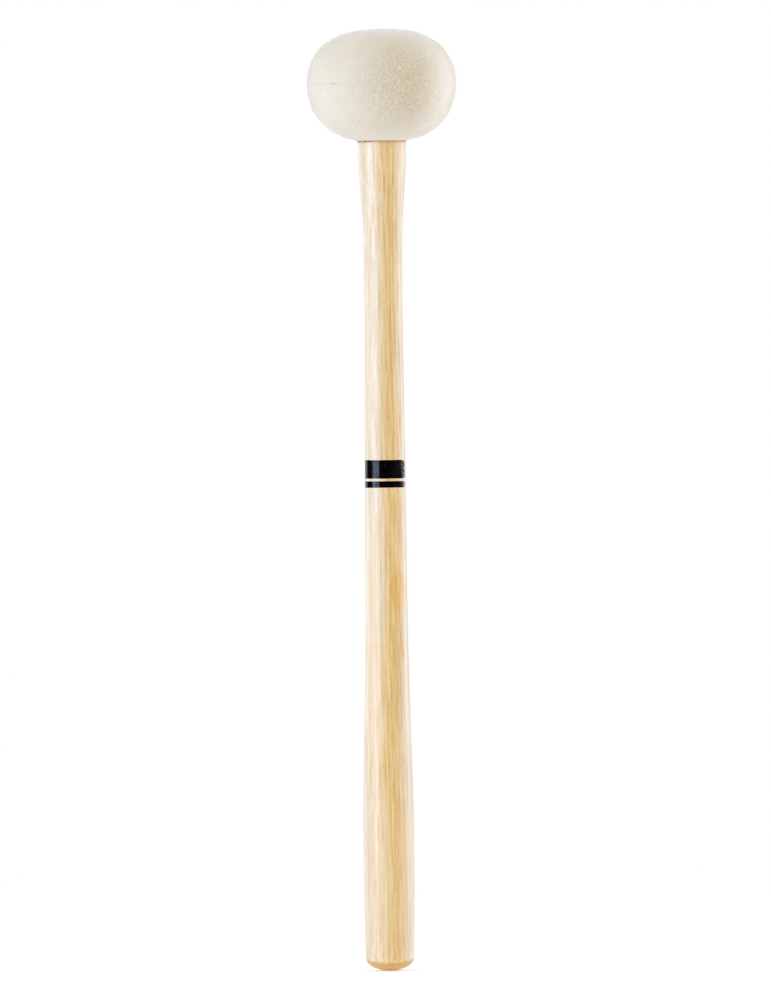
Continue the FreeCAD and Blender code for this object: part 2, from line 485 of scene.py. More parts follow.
def woodMaterial():
    # Growth layers lie across one direction and run a little out of line with the axis. The wood
    # is golden in a slab through the heart, pale on both sides of it, and deeper on the right flank.
    # The gold is partly heartwood and partly painted shade, set where the front is darkest between
    # the lamps; the pale sides are partly painted light, and the deeper right flank is painted shade.
    # Fine fibres, broad strands and a slow drift of tone follow the length, and pores are short
    # dashes beside a layer's start.
    look = woodLook
    material, tree, shader = startMaterial("lacquered_wood_turned", look["settings"])
    place = objectPlace(tree)
    noise, fade = lookTools(tree, look, place)
    height = axisOf(tree, place)
    across = (math.cos(look["layerTurn"]), math.sin(look["layerTurn"]), 0)
    level = vectorNode(tree, "DOT_PRODUCT", place, across, "Value")
    depth = plus(tree, level, times(tree, height, look["grainRunOut"]))
    drift, strand, fibre, speck, broken = map(noise, ("drift", "strand", "fibre", "speck", "break"))
    layerCount = mathNode(tree, "DIVIDE", depth, look["layerPitch"])
    layerCount = withNoises(tree, layerCount, (drift, look["layerBend"]), (strand, look["layerWaver"]))
    layer = mathNode(tree, "FRACT", layerCount)
    greys = {grey: (grey,) * 3 for start, grey in look["layerDarkness"]}
    line = rampNode(tree, layer, look["layerDarkness"], greys)
    line = times(tree, line, fade(broken, "lineBreak"))
    tones = ((strand, look["strandTone"]), (fibre, look["fibreTone"]), (speck, look["speckTone"]))
    tone = withNoises(tree, look["middleTone"], *tones)
    tone = mathNode(tree, "SUBTRACT", tone, line, clamp=True)

    # golden heart between pale sides, shifted and widened on the handle: the gold is partly heartwood
    # and partly painted shade, the pale sides partly painted light
    reach = mathNode(tree, "MAXIMUM", axisDistance(tree, place), look["heartAndShadeCore"])
    share = mathNode(tree, "DIVIDE", level, reach)
    moved = plus(tree, share, fade(height, "handleShift"))
    offCentre = mathNode(tree, "ABSOLUTE", withNoises(tree, moved, (drift, look["heartAndShadeWander"])))
    offCentre = withNoises(tree, offCentre, (strand, look["heartAndShadeFeather"]))
    offCentre = mathNode(tree, "SUBTRACT", offCentre, fade(height, "handleGold"))
    heartAndShade = fade(offCentre, "heartFade")
    pale = mixNode(tree, tone, look["paleDeep"], look["paleLight"])
    pale = mixNode(tree, fade(share, "flankFade"), pale, look["shadedFlank"])
    gold = mixNode(tree, tone, look["goldDeep"], look["goldLight"])
    colour = mixNode(tree, heartAndShade, pale, gold)

    # pores
    cells = tree.nodes.new("ShaderNodeTexVoronoi")
    cells.inputs["Scale"].default_value = 1
    wire(tree, stretched(tree, place, look["poreCell"]), cells.inputs["Vector"])
    dash = fade(cells.outputs["Distance"], "poreDash")
    nearLine = fade(layer, "poreByLayer")
    filled = mathNode(tree, "GREATER_THAN", axisOf(tree, cells.outputs["Color"]), look["poreLeast"])
    pore = times(tree, dash, nearLine, filled)
    colour = mixNode(tree, times(tree, pore, look["poreDepth"]), colour, look["pore"])

    # streaks, stains, a few dark grain lines and two painted highlights
    feathered = fade(fibre, "stainFibre")
    for angle, rise, width, length, strength, stain in look["stains"]:
        spotZ = buttZ + rise * mm
        centre = roundPlace(shaftRadius(spotZ), frontAngle + math.radians(angle), spotZ)
        spot = spotFade(tree, place, centre, (width * mm, width * mm, length * mm), look["stainEdge"])
        colour = mixNode(tree, times(tree, spot, feathered, strength), colour, look[stain])

    # end grain drinks lacquer: the dome and the shoulder's edge are deeper in colour
    uneven = withNoises(tree, height, (fibre, look["endGrainRagged"]))
    sideways = axisOf(tree, place, "X")
    climb = times(tree, sideways, sideways, look["endGrainClimb"])
    domeLevel = mathNode(tree, "SUBTRACT", uneven, climb)
    for end, ground, key in ((domeLevel, buttZ, "domeFade"), (uneven, shoulderZ, "collarFade")):
        begins, stops, *shares = look[key]
        tint = fadeNode(tree, end, ground + begins, ground + stops, *shares)
        colour = mixNode(tree, tint, colour, look["endGrain"])

    rough = fade(fibre, "roughFade")
    relief = mathNode(tree, "SUBTRACT", times(tree, fibre, look["fibreRelief"]), pore)
    normal = bumpNode(tree, relief, *look["bump"])
    dress(tree, shader, {"Base Color": colour, "Roughness": rough, "Normal": normal})
    return material


shaftPiece = makeShaft()
shaftPiece.data.materials.append(woodMaterial())
print("shaft:", len(shaftPiece.data.polygons), "faces")


# Felt head

headShape = dict(
    around=640,
    rings=136,
    # cell and depth in mm and seed of each noise; the wool stands a little longer than wide
    lumps=((14, 0.03, 11), (5, 0.02, 12), (0.95, 0.085, 13), (0.55, 0.03, 14)),
    woolStretch=(1, 1, 0.7),
    # degrees above the seam, and how far the ground felt stands off the plain oval there in mm
    fullness=(
        (-90, 0), (-80, 0), (-60, 0.05), (-50, 0.04), (-40, 0.16), (-27, 0.20), (-16, 0.06), (0, -0.08),
        (7, 0.06), (14, 0.14), (26, 0.24), (34, 0.15), (38, 0.06), (42, -0.05), (46, -0.14), (51, -0.22),
        (58, -0.12), (68, -0.05), (90, 0.02),
    ),
    crownTilt=math.tan(math.radians(0.25)),
    seamDepth=0.05 * mm,
    seamWidth=0.2 * mm,
    seamSide=(14 * mm, -8 * mm, 0.1),  # x where the seam begins to show and is whole, least share
    seamNoise=(5 * mm, 21),  # cell and seed
    seamBreak=(0.1, 0.7),
    nickAngle=frontAngle - math.radians(40),
    nickReach=math.radians(2.2),
    nickDepth=0.2 * mm,
    # the felt's lip round the collar: distance from the axis, depth under the seat, in mm
    seatPress=(
        (10.9, -0.05), (10.3, 0.12), (9.7, 0.36), (9.3, 0.52), (9.12, 0.50), (8.85, 0.30), (8.74, 0.0),
    ),
    pressClear=0.3 * mm,
    # the relief fades out towards the seat: height above it, distance from the axis
    fadeAtSeat=3 * mm,
    fadeAround=(14 * mm, 9 * mm),
)
headCentre = np.array([0, 0, seamZ])


def headOutline(name, upper):
    # The outer outline of one felt disc, from the seam to the crown or to the seat's bore.
    pairs = nodeOutline(name)
    wall = np.abs(pairs[:, 0] - socketRadius) < near
    inside = wall & (pairs[:, 1] < socketZ + near)
    pairs = pairs[~inside & (pairs[:, 1] > seatZ - nearest)]
    faceZ = pairs[:, 1].min() if upper else pairs[:, 1].max()
    atFace = np.abs(pairs[:, 1] - faceZ) < near
    rim = pairs[atFace, 0].max()
    outer = pairs[~atFace]
    outer = outer[np.argsort(np.arctan2(np.abs(outer[:, 1] - seamZ), outer[:, 0]))]
    start = np.array([[rim, seamZ]])
    if upper:
        return np.vstack([start, outer])
    # the felt is pressed down round the collar's edge
    pressed = np.array([[radius * mm, seatZ - depth * mm] for radius, depth in headShape["seatPress"]])
    outer = outer[outer[:, 0] > pressed[0, 0] + headShape["pressClear"]]
    return np.vstack([start, outer, pressed, [[socketRadius, seatZ]]])


def feltRelief(points):
    # The head's fullness plus smooth noises, from slow unevenness of the ground felt down to its
    # nap, less a broken shallow groove along the seam and one short nick in it.
    shape = headShape
    wool = points * shape["woolStretch"]
    total = sum(depth * mm * latticeNoise(wool, cell * mm, seed) for cell, depth, seed in shape["lumps"])
    reach = np.hypot(points[..., 0], points[..., 1])
    steps, offsets = np.array(shape["fullness"], float).T
    total += curveThrough(steps, offsets * mm, np.degrees(np.arctan2(points[..., 2] - seamZ, reach)))
    angle = np.arctan2(points[..., 1], points[..., 0])
    broken = smoothStep(*shape["seamBreak"], latticeNoise(points, *shape["seamNoise"]))
    begins, whole, least = shape["seamSide"]
    broken = broken * (least + (1 - least) * smoothStep(begins, whole, points[..., 0]))
    away = (angle - shape["nickAngle"] + math.pi) % (2 * math.pi) - math.pi
    nick = np.exp(-((away / shape["nickReach"]) ** 2))
    groove = np.exp(-(((points[..., 2] - seamZ) / shape["seamWidth"]) ** 2))
    total = total - groove * np.maximum(shape["seamDepth"] * broken, shape["nickDepth"] * nick)
    nearSeat = smoothStep(seatZ + shape["fadeAtSeat"], seatZ, points[..., 2])
    return total * (1 - nearSeat * smoothStep(*shape["fadeAround"], reach))


def tilted(points):
    # The crown was ground a little out of square: it rises with x, in proportion to its height.
    share = np.clip((points[..., 2] - seamZ) / (crownZ - seamZ), 0, 1)
    lift = headShape["crownTilt"] * points[..., 0] * share
    return points + np.stack([0 * lift, 0 * lift, lift], axis=-1)


def outlineNormals(outline):
    # The outline's direction turned a quarter, away from the head's middle.
    along = np.gradient(outline, axis=0)
    normal = unit(np.stack([-along[:, 1], along[:, 0]], axis=1))
    outward = np.sign(np.sum(normal * (outline - [0, seamZ]), axis=1, keepdims=True))
    return normal * outward


def makeFeltDisc(name, node, upper):
    # The outline carried round the axis and moved along its normals by the relief. The upper disc is
    # closed by the socket and the crown, the lower one by its bore.
    pairs = headOutline(node, upper)
    along = runLength(pairs)
    stations = np.linspace(0, along[-1], headShape["rings"])
    outline = np.stack([curveThrough(along, pairs[:, k], stations) for k in (0, 1)], axis=1)
    normals = outlineNormals(outline)
    angle = fullTurn(headShape["around"])[None, :]
    surface = turn(outline[:, :1], outline[:, 1:], angle)
    outward = turn(normals[:, :1], normals[:, 1:], angle)
    surface = tilted(surface + outward * feltRelief(surface)[..., None])
    inner = np.array([[socketRadius]])
    if upper:
        wall = turn(inner, np.array([[socketZ], [seamZ]]), angle)
        grid = np.concatenate([wall, surface[:-1]])
        crown = (0, 0, surface[-1, :, 2].mean())
        points, faces = skinGrid(grid, (0, 0, socketZ), crown)
    else:
        wall = turn(inner, np.array([[seamZ]]), angle)
        grid = np.concatenate([surface[::-1], wall])
        points, faces = skinGrid(grid, wrapRows=True)
    piece = addPiece(name, points, faces, [node])
    return piece, outline


feltLook = dict(
    pale=srgb(235, 228, 213),
    plain=srgb(230, 221, 202),
    shade=srgb(222, 211, 188),
    # painted light, painted shade, painted shade in the wool's hollows, strands partly painted light
    paintedLight=srgb(242, 236, 225),
    paintedShade=srgb(231, 216, 173),
    cavity=srgb(192, 177, 136),
    strand=srgb(247, 241, 224),
    fleck=srgb(168, 146, 112),
    settings={"Roughness": 0.95, "Specular IOR Level": 0.15, "Sheen Weight": 1.0, "Sheen Roughness": 0.4},
    # noises
    mottleNoise=((0.8,) * 3, (0, 0, 0), 2.0, 0.6, 0.6),
    fineNoise=((0.42,) * 3, (4, 1, 8), 2.0, 0.6, 0.8),
    cloudNoise=((9,) * 3, (1, 5, 2), 2.0),
    cavityNoise=((0.37, 0.37, 1.15), (5, 3, 9), 1.5, 0.5, 0.4),
    fleckNoise=((1.1,) * 3, (7, 7, 3), 3.0, 0.7),
    middleTone=0.5,
    mottleTone=0.65,
    fineTone=0.45,
    cloudTone=0.6,
    tones=((0.1, "shade"), (0.5, "plain"), (0.9, "pale")),
    # the painted shade on the front-right and the painted light beside it: direction from the
    # front towards +X, reach round and along
    paintedShadeAngle=frontAngle + math.radians(17.5),
    paintedShadeReach=(17.8 * mm, 17.8 * mm, 25 * mm),
    fibreShadeReach=(24 * mm, 24 * mm, 58 * mm),
    paintedLightAngle=frontAngle + math.radians(58),
    paintedLightReach=(17 * mm, 17 * mm, 34 * mm),
    nickSpot=(1.2 * mm, 1.2 * mm, 0.32 * mm),
    # fades
    paintedShadeFade=(0.0, 1.15, 0.38, 0.0),
    fibreShadeFade=(0.0, 1.0, 1.0, 0.08),
    paintedLightFade=(0.0, 1.0, 0.75, 0.0),
    cavityFade=(0.38, 0.62, 0.52, 0.0),
    strandFade=(0.54, 0.74, 0.0, 0.44),
    fleckFade=(0.70, 0.80, 0.0, 0.25),
    seamFade=(0.05 * mm, 0.3 * mm, 1.0, 0.0),
    seamCloud=(0.48, 0.62, 0.03, 0.16),
    nickFade=(0.3, 1.0, 0.7, 0.0),
    mottleRelief=1.2,
    bump=(0.14 * mm, 1.0),
)


def rimPlace(angle):
    # A point on the head's rim, at the seam.
    return roundPlace(rimRadius, angle, seamZ)


def feltMaterial():
    # Wool fibres of slightly different creams, pressed together: fine speckle over slow clouds,
    # with painted shade on the front-right and painted light beside it.
    look = feltLook
    material, tree, shader = startMaterial("pressed_felt_cream", look["settings"])
    place = objectPlace(tree)
    noise, fade = lookTools(tree, look, place)
    mottle, fine, cloud = map(noise, ("mottle", "fine", "cloud"))
    tones = ((mottle, look["mottleTone"]), (fine, look["fineTone"]), (cloud, look["cloudTone"]))
    tone = withNoises(tree, look["middleTone"], *tones)
    colour = rampNode(tree, tone, look["tones"], look)

    # painted light: a paler spot at the right of the head
    paintedLight = spotFade(tree, place, rimPlace(look["paintedLightAngle"]), look["paintedLightReach"], look["paintedLightFade"])
    colour = mixNode(tree, paintedLight, colour, look["paintedLight"])

    # painted shade on the front-right, where the lamps leave the head darkest, with painted shade
    # in the wool's hollows and pale strands that are partly painted light
    shadeCentre = rimPlace(look["paintedShadeAngle"])
    paintedShade = spotFade(tree, place, shadeCentre, look["paintedShadeReach"], look["paintedShadeFade"])
    colour = mixNode(tree, paintedShade, colour, look["paintedShade"])
    fibreShadeMask = spotFade(tree, place, shadeCentre, look["fibreShadeReach"], look["fibreShadeFade"])
    cavity = noise("cavity")
    for key in ("cavity", "strand"):
        shown = times(tree, fade(cavity, key + "Fade"), fibreShadeMask)
        colour = mixNode(tree, shown, colour, look[key])

    # a few darker hairs, and the seam's glue where it shows
    speck = fade(noise("fleck"), "fleckFade")
    offSeam = mathNode(tree, "ABSOLUTE", mathNode(tree, "SUBTRACT", axisOf(tree, place), seamZ))
    begins, whole, least = headShape["seamSide"]
    side = fadeNode(tree, axisOf(tree, place, "X"), whole, begins, 1.0, least)
    seam = times(tree, fade(offSeam, "seamFade"), fade(cloud, "seamCloud"), side)
    nick = spotFade(tree, place, rimPlace(headShape["nickAngle"]), look["nickSpot"], look["nickFade"])
    for dark in (speck, seam, nick):
        colour = mixNode(tree, dark, colour, look["fleck"])

    relief = plus(tree, fine, times(tree, mottle, look["mottleRelief"]))
    dress(tree, shader, {"Base Color": colour, "Normal": bumpNode(tree, relief, *look["bump"])})
    return material


feltCream = feltMaterial()
upperFelt, upperLine = makeFeltDisc("felt_upper_ground", "upper_felt_disc", True)
lowerFelt, lowerLine = makeFeltDisc("felt_lower_ground", "lower_felt_disc", False)
for felt in (upperFelt, lowerFelt):
    felt.data.materials.append(feltCream)
print("felt:", len(upperFelt.data.polygons) + len(lowerFelt.data.polygons), "faces")


# Nap: short wool fibres that lie on the felt

napShape = dict(
    count=7000,
    length=(0.8 * mm, 2.4 * mm),
    thickness=(0.010 * mm, 0.018 * mm),
    ringShares=(0.8, 1, 0.8),  # thickness of a fibre's rings between its two tips
    sides=3,
    bend=1.6,
    lift=0.04 * mm,
    liftShares=(0.3, 1),
    strayShare=0.12,
    strayLift=0.3 * mm,
    sink=0.04 * mm,
    seatClear=12 * mm,  # no fibres nearer to the axis on the lower disc
    seed=5,
)


def makeNap(name, outline):
    # Each fibre is an arc in the tangent plane, laid back on the head along the line to its
    # middle, lifted by a half sine, and thinned to a point at both ends.
    shape = napShape
    rng = np.random.default_rng(shape["seed"] + len(name))
    count = shape["count"]
    order = np.argsort(np.arctan2(outline[:, 1] - seamZ, outline[:, 0]))
    swing = np.arctan2(outline[order, 1] - seamZ, outline[order, 0])
    reach = np.hypot(outline[order, 0], outline[order, 1] - seamZ)
    area = np.cumsum(outline[:-1, 0] * np.diff(runLength(outline)))
    pick = np.interp(rng.uniform(0, area[-1], count), area, np.arange(len(area)))
    rows = np.arange(len(outline))
    radius, height = (np.interp(pick, rows, outline[:, k]) for k in (0, 1))
    angle = rng.uniform(0, 2 * math.pi, count)
    root = turn(radius, height, angle)
    normal = unit(root - headCentre)
    side = np.stack([-np.sin(angle), np.cos(angle), np.zeros(count)], axis=1)
    up = np.cross(normal, side)

    rings, sides = len(shape["ringShares"]), shape["sides"]
    t = np.linspace(-0.5, 0.5, rings + 2)[None, :]
    length = rng.uniform(*shape["length"], count)[:, None]
    heading = rng.uniform(0, 2 * math.pi, count)[:, None]
    curl = rng.normal(0, shape["bend"], count)[:, None]
    forward = np.sinc(curl * t / math.pi) * t * length
    sideways = curl * t * t * length * 0.5
    a = forward * np.cos(heading) - sideways * np.sin(heading)
    b = forward * np.sin(heading) + sideways * np.cos(heading)
    path = root[:, None] + a[..., None] * side[:, None] + b[..., None] * up[:, None]

    ray = unit(path - headCentre)
    tilt = np.arctan2(ray[..., 2], np.hypot(ray[..., 0], ray[..., 1]))
    ground = headCentre + ray * np.interp(tilt, swing, reach)[..., None]
    stray = rng.random(count)[:, None] < shape["strayShare"]
    most = np.where(stray, shape["strayLift"], shape["lift"])
    arch = rng.uniform(*shape["liftShares"], count)[:, None] * most
    lift = arch * np.where(stray, t + 0.5, np.cos(math.pi * t)) - shape["sink"] * np.abs(2 * t) ** 3
    path = tilted(ground + ray * (feltRelief(ground) + lift)[..., None])

    across = np.cross(unit(np.gradient(path, axis=1)), ray)
    thick = rng.uniform(*shape["thickness"], count)[:, None, None, None]
    spin = np.arange(sides) * 2 * math.pi / sides
    around = np.cos(spin)[:, None] * ray[:, 1:-1, None] + np.sin(spin)[:, None] * across[:, 1:-1, None]
    belt = path[:, 1:-1, None] + thick * np.array(shape["ringShares"])[:, None, None] * around
    points = np.concatenate([path[:, :1], belt.reshape(count, -1, 3), path[:, -1:]], axis=1)

    # a fibre's points are its first tip, its rings and its last tip
    k = np.arange(sides)
    n = (k + 1) % sides
    last = rings * sides + 1
    lastRing = last - sides
    start = np.stack([np.zeros(sides, int), 1 + n, 1 + k], axis=1)
    finish = np.stack([np.full(sides, last), lastRing + k, lastRing + n], axis=1)
    walls = [[s + k, s + n, s + sides + n, s + sides + k] for s in range(1, lastRing, sides)]
    walls = np.concatenate([np.stack(wall, axis=1) for wall in walls])
    offset = (last + 1) * np.arange(count)[:, None, None]
    tips = (np.concatenate([start, finish]) + offset).reshape(-1, 3)
    walls = (walls + offset).reshape(-1, 4)
    piece = addPiece(name, points.reshape(-1, 3), [walls, tips])
    tone = piece.data.attributes.new("fibreTone", "FLOAT", "POINT")
    tone.data.foreach_set("value", np.repeat(rng.random(count), last + 1).astype(np.float32))
    return piece


napLook = dict(
    settings={"Roughness": 0.8, "Specular IOR Level": 0.25, "Sheen Weight": 0.3},
    # the share of fibres that are darker than each of the felt's colours
    tones=((0.0, "fleck"), (0.03, "shade"), (0.4, "plain"), (1.0, "pale")),
    fineNoise=((0.42,) * 3, (0, 0, 0), 1.0),
    fineFade=(0.3, 0.7, 0.0, 0.35),
)


def napMaterial():
    # Each fibre has a cream of its own, paler in spots. A few are dark.
    look = napLook
    material, tree, shader = startMaterial("wool_nap", look["settings"])
    noise, fade = lookTools(tree, look, objectPlace(tree))
    own = tree.nodes.new("ShaderNodeAttribute")
    own.attribute_name = "fibreTone"
    colour = rampNode(tree, own.outputs["Fac"], look["tones"], feltLook)
    colour = mixNode(tree, fade(noise("fine"), "fineFade"), colour, feltLook["pale"])
    dress(tree, shader, {"Base Color": colour})
    return material


woolNap = napMaterial()
lowerLine = lowerLine[lowerLine[:, 0] > napShape["seatClear"]]
for napName, napLine in (("nap_upper", upperLine), ("nap_lower", lowerLine)):
    makeNap(napName, napLine).data.materials.append(woolNap)
print("nap:", 2 * napShape["count"], "fibres")


# Foil bands

bandShape = dict(
    around=360,
    rows=26,
    film=0.06 * mm,
    bury=0.05 * mm,
    edge=0.04 * mm,
    wave=0.042 * mm,
    waveCells=(2.2 * mm, 0.7 * mm),
    spread=0.06 * mm,
    jag=0.3 * mm,
    jagCell=0.55 * mm,
    jagSeed=8,  # added to the band's own
)


def easedShares(rows):
    # Shares from 0 to 1, closer together at both ends: half of 1 - cos over half a turn.
    return 0.5 - 0.5 * np.cos(np.linspace(0, math.pi, rows))


def bandGrid(low, high, angle, seed):
    # A strip on the neck: its height runs between two slightly wavy edges, and its film
    # thins to nothing over a narrow rim. Outer face upwards, then the inner face back down.
    shape = bandShape
    share = easedShares(shape["rows"])[:, None]
    circle = turn(shaftRadius((low + high) / 2), np.array(seed * mm), angle)
    wave = [sum(latticeNoise(circle, cell, seed + k) for cell in shape["waveCells"]) for k in (0, 1)]
    bottom, top = low + shape["wave"] * wave[0], high + shape["wave"] * wave[1]
    height = bottom + (top - bottom) * share
    inset = np.minimum(share, 1 - share) * (high - low)
    film = shape["film"] * np.sqrt(1 - (1 - np.clip(inset / shape["edge"], 0, 1)) ** 2)
    radius = shaftRadius(height)
    outer = turn(radius + film, height, angle)
    inner = turn(radius - shape["bury"], height, angle)
    return np.concatenate([outer, inner[::-1]])


def endCaps(rows, columns):
    # Quads that join the outer and inner face at the two ends of an open strip.
    k = np.arange(rows - 1)
    twin = 2 * rows - 1 - k
    caps = np.stack([k, k + 1, twin - 1, twin], axis=1) * columns
    return [caps[:, ::-1], caps + columns - 1]


def makeBand(name, node, corner, setback, seed):
    # A strip wrapped once. Its two ends are found in the node: its widest step between neighbouring
    # angles. Their corners are quarter ovals, and the end at the front is ragged and set back.
    shape = bandShape
    low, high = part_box(node)[0].z - shape["spread"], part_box(node)[1].z + shape["spread"]
    spots = nodePoints(node)
    turned = np.unique(np.round(np.arctan2(spots[:, 1], spots[:, 0]), 5))
    step = np.diff(np.append(turned, turned[0] + 2 * math.pi))
    first = turned[(np.argmax(step) + 1) % len(turned)]
    sweep = 2 * math.pi - step.max()
    rows = shape["rows"]
    share = easedShares(rows)
    radius = shaftRadius(low)
    inset = np.clip(np.minimum(share, 1 - share) * (high - low) / corner[1], 0, 1)
    rounding = (1 - np.sqrt(1 - (1 - inset) ** 2)) * corner[0] / radius
    level = np.stack([np.zeros(rows), np.zeros(rows), share * (high - low)], axis=1)
    ragged = latticeNoise(level, shape["jagCell"], seed + shape["jagSeed"])
    ragged = shape["jag"] / radius * (0.5 + 0.5 * ragged)
    begin = first + rounding
    end = first + sweep - rounding - ragged - setback / radius
    across = np.linspace(0, 1, shape["around"])[None, :]
    angle = begin[:, None] + (end - begin)[:, None] * across
    points, faces = skinGrid(bandGrid(low, high, angle, seed), wrapRows=True, wrapColumns=False)
    faces += endCaps(rows, shape["around"])
    piece = addPiece(name, points, faces, [node])
    toEnd = (first + sweep - angle) * radius
    wear = piece.data.attributes.new("toEnd", "FLOAT", "POINT")
    wear.data.foreach_set("value", np.concatenate([toEnd, toEnd[::-1]]).ravel().astype(np.float32))
    return piece


foilLook = dict(
    black=srgb(2, 2, 3),
    worn=srgb(16, 17, 19),
    bare=srgb(140, 138, 140),
    # noises
    scuffNoise=((0.5, 0.5, 3), (0, 0, 0), 3.0, 0.6),
    grainNoise=((0.3, 0.3, 2.4), (2, 6, 1), 2.0, 0.5),
    flakeNoise=((0.5, 0.5, 0.6), (3, 3, 7), 2.0, 0.6),
    streakNoise=((0.8, 0.8, 5), (5, 1, 3), 2.0, 0.6),
    # fades
    scuffFade=(0.5, 0.85, 0.0, 0.6),
    endWear=(0.0, 5.6 * mm, 0.28, 0.0),
    flakeFade=(0.70, 0.80, 0.0, 0.7),
    roughFade=(0.3, 0.75, 0.11, 0.2),
    glossFade=(0.36, 0.62, 0.52, 0.24),
    flakeRough=0.3,
    bump=(0.02 * mm, 0.4),
)


def foilMaterial():
    # Black transfer foil: the wood's grain telegraphs through, gloss varies with handling, and
    # the foil is flaked towards the strip's end.
    look = foilLook
    material, tree, shader = startMaterial("black_foil_gloss", {})
    noise, fade = lookTools(tree, look, objectPlace(tree))
    scuff, grain, flake, streak = map(noise, ("scuff", "grain", "flake", "streak"))
    own = tree.nodes.new("ShaderNodeAttribute")
    own.attribute_name = "toEnd"
    atEnd = fade(own.outputs["Fac"], "endWear")
    flake = fade(plus(tree, flake, atEnd), "flakeFade")
    colour = mixNode(tree, fade(scuff, "scuffFade"), look["black"], look["worn"])
    colour = mixNode(tree, flake, colour, look["bare"])
    rough = plus(tree, fade(scuff, "roughFade"), times(tree, flake, look["flakeRough"]))
    gloss, normal = fade(streak, "glossFade"), bumpNode(tree, grain, *look["bump"])
    dress(tree, shader, {"Base Color": colour, "Roughness": rough, "Normal": normal})
    dress(tree, shader, {"Specular IOR Level": gloss})
    return material


# node, rounding of the corners round and along, setback of the end at the front, seed
bands = dict(
    band_narrow_foil=("narrow_band", (0.6 * mm, 0.5 * mm), 0.5 * mm, 31),
    band_wide_foil=("wide_band", (2.4 * mm, 1.0 * mm), 0.0, 33),
)
blackFoil = foilMaterial()
for bandName, bandRow in bands.items():
    makeBand(bandName, *bandRow).data.materials.append(blackFoil)
print("bands:", len(bands))


# Glue

glueShape = dict(
    around=360,
    section=12,
    underShoulder=1 * mm,  # where the collar's radius is taken
    drop=0.30 * mm,
    halfHeight=0.19 * mm,
    halfWidth=0.19 * mm,
    swell=0.05 * mm,
    slant=0.014,
    # cell, seed and share of the noises that move the bead, and of the one that fattens it
    wander=((2.1 * mm, 51, 1.0), (0.8 * mm, 52, 0.5)),
    fat=(1.7 * mm, 53, 0.9),
    fatMiddle=1.05,
    fatLimits=(0.2, 1.15),
)


def makeShoulderGlue():
    # A thin bead squeezed out between the collar's edge and the felt's lip. Its section is an
    # oval whose place and height wander, so that it shows as a broken line, lower on the left.
    shape = glueShape
    collar = shaftRadius(shoulderZ - shape["underShoulder"])
    angle = fullTurn(shape["around"])[None, :]
    spin = fullTurn(shape["section"])[:, None]
    circle = turn(collar, np.zeros(1), angle[0])
    wander = sum(share * latticeNoise(circle, cell, seed) for cell, seed, share in shape["wander"])
    cell, seed, share = shape["fat"]
    fat = shape["fatMiddle"] + share * latticeNoise(circle, cell, seed)
    fat = np.clip(fat, *shape["fatLimits"])
    radius = collar + shape["swell"] * wander + shape["halfWidth"] * fat * np.cos(spin)
    level = shoulderZ - shape["drop"] + shape["slant"] * circle[:, 0]
    height = level + shape["swell"] * wander + shape["halfHeight"] * fat * np.sin(spin)
    points, faces = skinGrid(turn(radius, height, angle), wrapRows=True)
    return addPiece("glue_shoulder_bead", points, faces, ["shoulder_glue"])


glueLook = dict(
    dark=srgb(100, 56, 16),
    amber=srgb(212, 160, 98),
    settings={"Specular IOR Level": 0.15},
    blotchNoise=((1.4,) * 3, (0, 0, 0), 3.0, 0.6),
    tones=((0.36, "dark"), (0.58, "amber")),
    roughFade=(0.3, 0.7, 0.5, 0.65),
    bump=(0.05 * mm, 0.4),
)


def glueMaterial():
    # Amber glue with darker blotches, rougher where it is paler.
    look = glueLook
    material, tree, shader = startMaterial("dried_glue_amber", look["settings"])
    noise, fade = lookTools(tree, look, objectPlace(tree))
    blotch = noise("blotch")
    colour = rampNode(tree, blotch, look["tones"], look)
    rough = fade(blotch, "roughFade")
    normal = bumpNode(tree, blotch, *look["bump"])
    dress(tree, shader, {"Base Color": colour, "Roughness": rough, "Normal": normal})
    return material


driedGlue = glueMaterial()
makeShoulderGlue().data.materials.append(driedGlue)
for hidden in ("seam_glue", "tenon_glue"):
    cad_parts[hidden].data.materials.clear()
    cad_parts[hidden].data.materials.append(driedGlue)
print("glue: done")


# Studio

studio = dict(
    floorSide=1.6,
    floorColour=srgb(250, 249, 248),
    floorSettings={"Roughness": 0.9, "Specular IOR Level": 0.0, "Emission Color": (1, 1, 1, 1)},
    roomLight=(0.34, 0.24, 0.15),
    backdropLight=(0.93, 0.94, 1.08),
    mirrorSkew=0.142,
    # fades of the floor's glow with the distance from the axis: begin, end, value at both
    floorGlow=(0.12, 0.80, 0.2, 0.31),
    farGlow=(0.45, 1.05, 0.0, 0.24),
    # painted light: the floor's glow round the butt, seen by every ray but the camera's
    paintedGlowUnderButt=(0.006, 0.02, 0.32, 0.0),
    # fades of the room with a ray's heading, backwards or to the right: begin, end, value at both
    backdropEdge=(0.2, 0.62, 0.0, 1.0),
    backdropRight=(-0.1, 0.5, 1.0, 0.6),
    mirrorEdge=(0.38, 0.48, 0.015, 1.0),
    mirrorFar=(0.90, 0.985, 1.0, 0.35),
    mirrorRight=(0.1, 0.5, 1.0, 0.45),
    sideWall=(0.3, 1.0, 0.0, 0.12),
    # azimuth from the camera in degrees (left is negative), distance, height above the middle,
    # width, length, watts, colour, shown in reflections
    lamps=dict(
        key_left=(-57, 1.15, 0.15, 0.85, 1.70, 15.8, (0.83, 1.0, 1.23), True),
        wall_right=(95, 1.20, 0.10, 2.00, 2.00, 26.5, (0.88, 1.0, 1.14), False),
        top_soft=(0, 0.12, 1.25, 1.00, 1.00, 3.6, (0.90, 1.0, 1.10), True),
    ),
)


